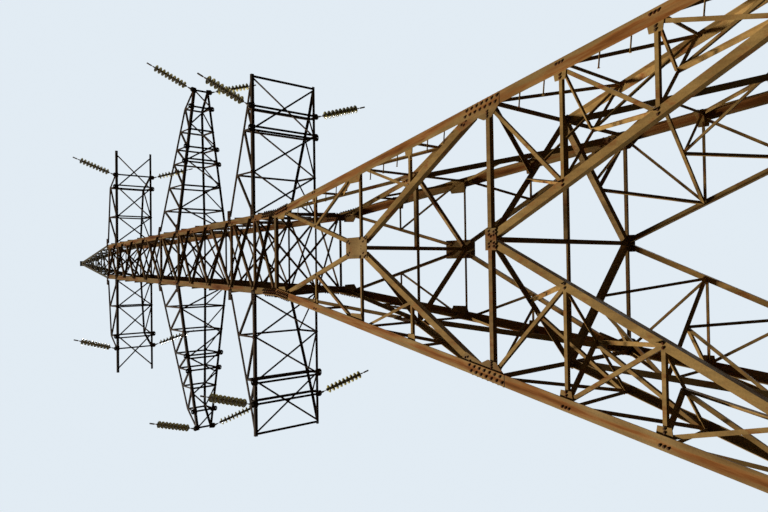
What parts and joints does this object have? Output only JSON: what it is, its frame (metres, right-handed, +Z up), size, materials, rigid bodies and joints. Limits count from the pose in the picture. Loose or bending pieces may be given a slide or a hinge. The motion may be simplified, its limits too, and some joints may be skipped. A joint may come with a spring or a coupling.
{
  "type": "lattice transmission pylon",
  "caption": "Square lattice steel tower with splayed K-braced legs, a slim cage, tiered crossarms on both sides and a pointed earth-wire peak.",
  "frame": {"origin": "on the ground at the middle of the four feet, under the tower's axis", "axes": "+X along the crossarms, to the outside of the line's bend, +Y along the line, away from the camera of the picture, +Z up"},
  "size_m": [13.0343, 7.55, 37.1],
  "materials": {
    "steel": "weathered paint with rust stains",
    "porcelain": "glossy olive glaze on the discs, galvanised caps, pins and clamps"
  },
  "bodies": {
    "root": {"leg_front_right": "steel", "leg_back_right": "steel", "leg_back_left": "steel", "leg_front_left": "steel", "foot_bracing_front_right": "steel", "foot_bracing_back_right": "steel", "foot_bracing_back_left": "steel", "foot_bracing_front_left": "steel", "waist_bracing_front_right": "steel", "waist_bracing_back_right": "steel", "waist_bracing_back_left": "steel", "waist_bracing_front_left": "steel", "belt_frame": "steel", "cross_frame": "steel", "cage_leg_front_right": "steel", "cage_leg_back_right": "steel", "cage_leg_back_left": "steel", "cage_leg_front_left": "steel", "cage_bracing_front": "steel", "cage_bracing_right": "steel", "cage_bracing_back": "steel", "cage_bracing_left": "steel", "cage_frames": "steel", "peak": "steel", "arm_bottom_right": "steel", "arm_bottom_left": "steel", "arm_middle_right": "steel", "arm_middle_left": "steel", "arm_top_right": "steel", "arm_top_left": "steel", "strings_bottom_right": "porcelain", "strings_bottom_left": "porcelain", "strings_middle_right": "porcelain", "strings_middle_left": "porcelain", "strings_top_right": "porcelain", "strings_top_left": "porcelain"}
  },
  "joints": []
}
